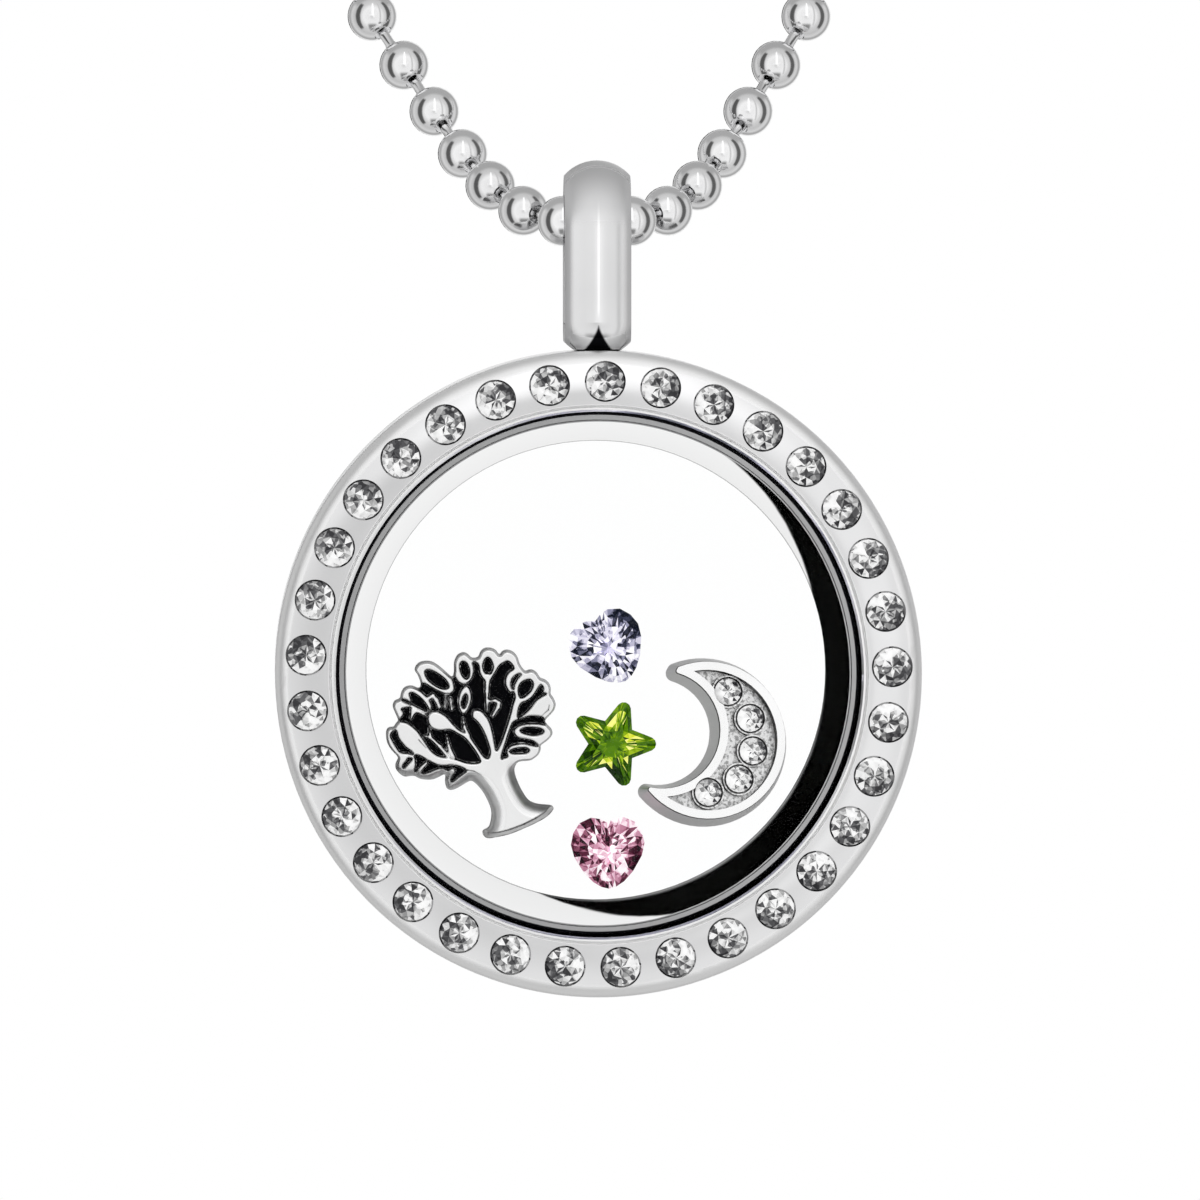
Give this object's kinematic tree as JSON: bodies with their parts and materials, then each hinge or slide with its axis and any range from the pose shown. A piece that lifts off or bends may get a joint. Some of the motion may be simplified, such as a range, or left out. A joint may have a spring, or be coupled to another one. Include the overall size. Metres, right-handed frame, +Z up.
{
  "type": "floating locket necklace",
  "caption": "Round glass-fronted locket with a stone-set bezel and loose charms inside, hanging by a domed bail from a ball chain worn round the neck.",
  "frame": {"origin": "where the chain rests on the nape of the neck, at the inner side of the clasp", "axes": "+Z up, the locket's front faces -Y, +X is the wearer's left"},
  "size_m": [0.1126, 0.1121, 0.1827],
  "materials": {
    "polished_steel": "polished",
    "window_glass": "clear",
    "clear_stone": "cut",
    "lavender_stone": "cut",
    "green_stone": "cut",
    "pink_stone": "cut"
  },
  "bodies": {
    "chain": {"chain_left": "polished_steel", "chain_right": "polished_steel", "chain_clasp": "polished_steel"},
    "locket": {"case": "polished_steel", "back_glass": "window_glass", "tree_charm": "polished_steel", "moon_charm": "polished_steel", "moon_stone_1": "clear_stone", "moon_stone_2": "clear_stone", "moon_stone_3": "clear_stone", "moon_stone_4": "clear_stone", "moon_stone_5": "clear_stone", "heart_lavender": "lavender_stone", "star_green": "green_stone", "heart_pink": "pink_stone"},
    "lid": {"bezel": "polished_steel", "front_glass": "window_glass", "crystal_01": "clear_stone", "crystal_02": "clear_stone", "crystal_03": "clear_stone", "crystal_04": "clear_stone", "crystal_05": "clear_stone", "crystal_06": "clear_stone", "crystal_07": "clear_stone", "crystal_08": "clear_stone", "crystal_09": "clear_stone", "crystal_10": "clear_stone", "crystal_11": "clear_stone", "crystal_12": "clear_stone", "crystal_13": "clear_stone", "crystal_14": "clear_stone", "crystal_15": "clear_stone", "crystal_16": "clear_stone", "crystal_17": "clear_stone", "crystal_18": "clear_stone", "crystal_19": "clear_stone", "crystal_20": "clear_stone", "crystal_21": "clear_stone", "crystal_22": "clear_stone", "crystal_23": "clear_stone", "crystal_24": "clear_stone", "crystal_25": "clear_stone", "crystal_26": "clear_stone", "crystal_27": "clear_stone", "crystal_28": "clear_stone", "crystal_29": "clear_stone", "crystal_30": "clear_stone", "crystal_31": "clear_stone", "crystal_32": "clear_stone", "crystal_33": "clear_stone"}
  },
  "joints": [
    {"name": "pendant_swing", "type": "hinge", "parent": "chain", "child": "locket", "pos_m": [0, -0.10579, -0.14366], "axis": [1, 0, 0], "range_deg": [-60, 25]},
    {"name": "bezel_lift", "type": "slide", "parent": "locket", "child": "lid", "axis": [0, -1, 0], "range_m": [0, 0.012]}
  ]
}
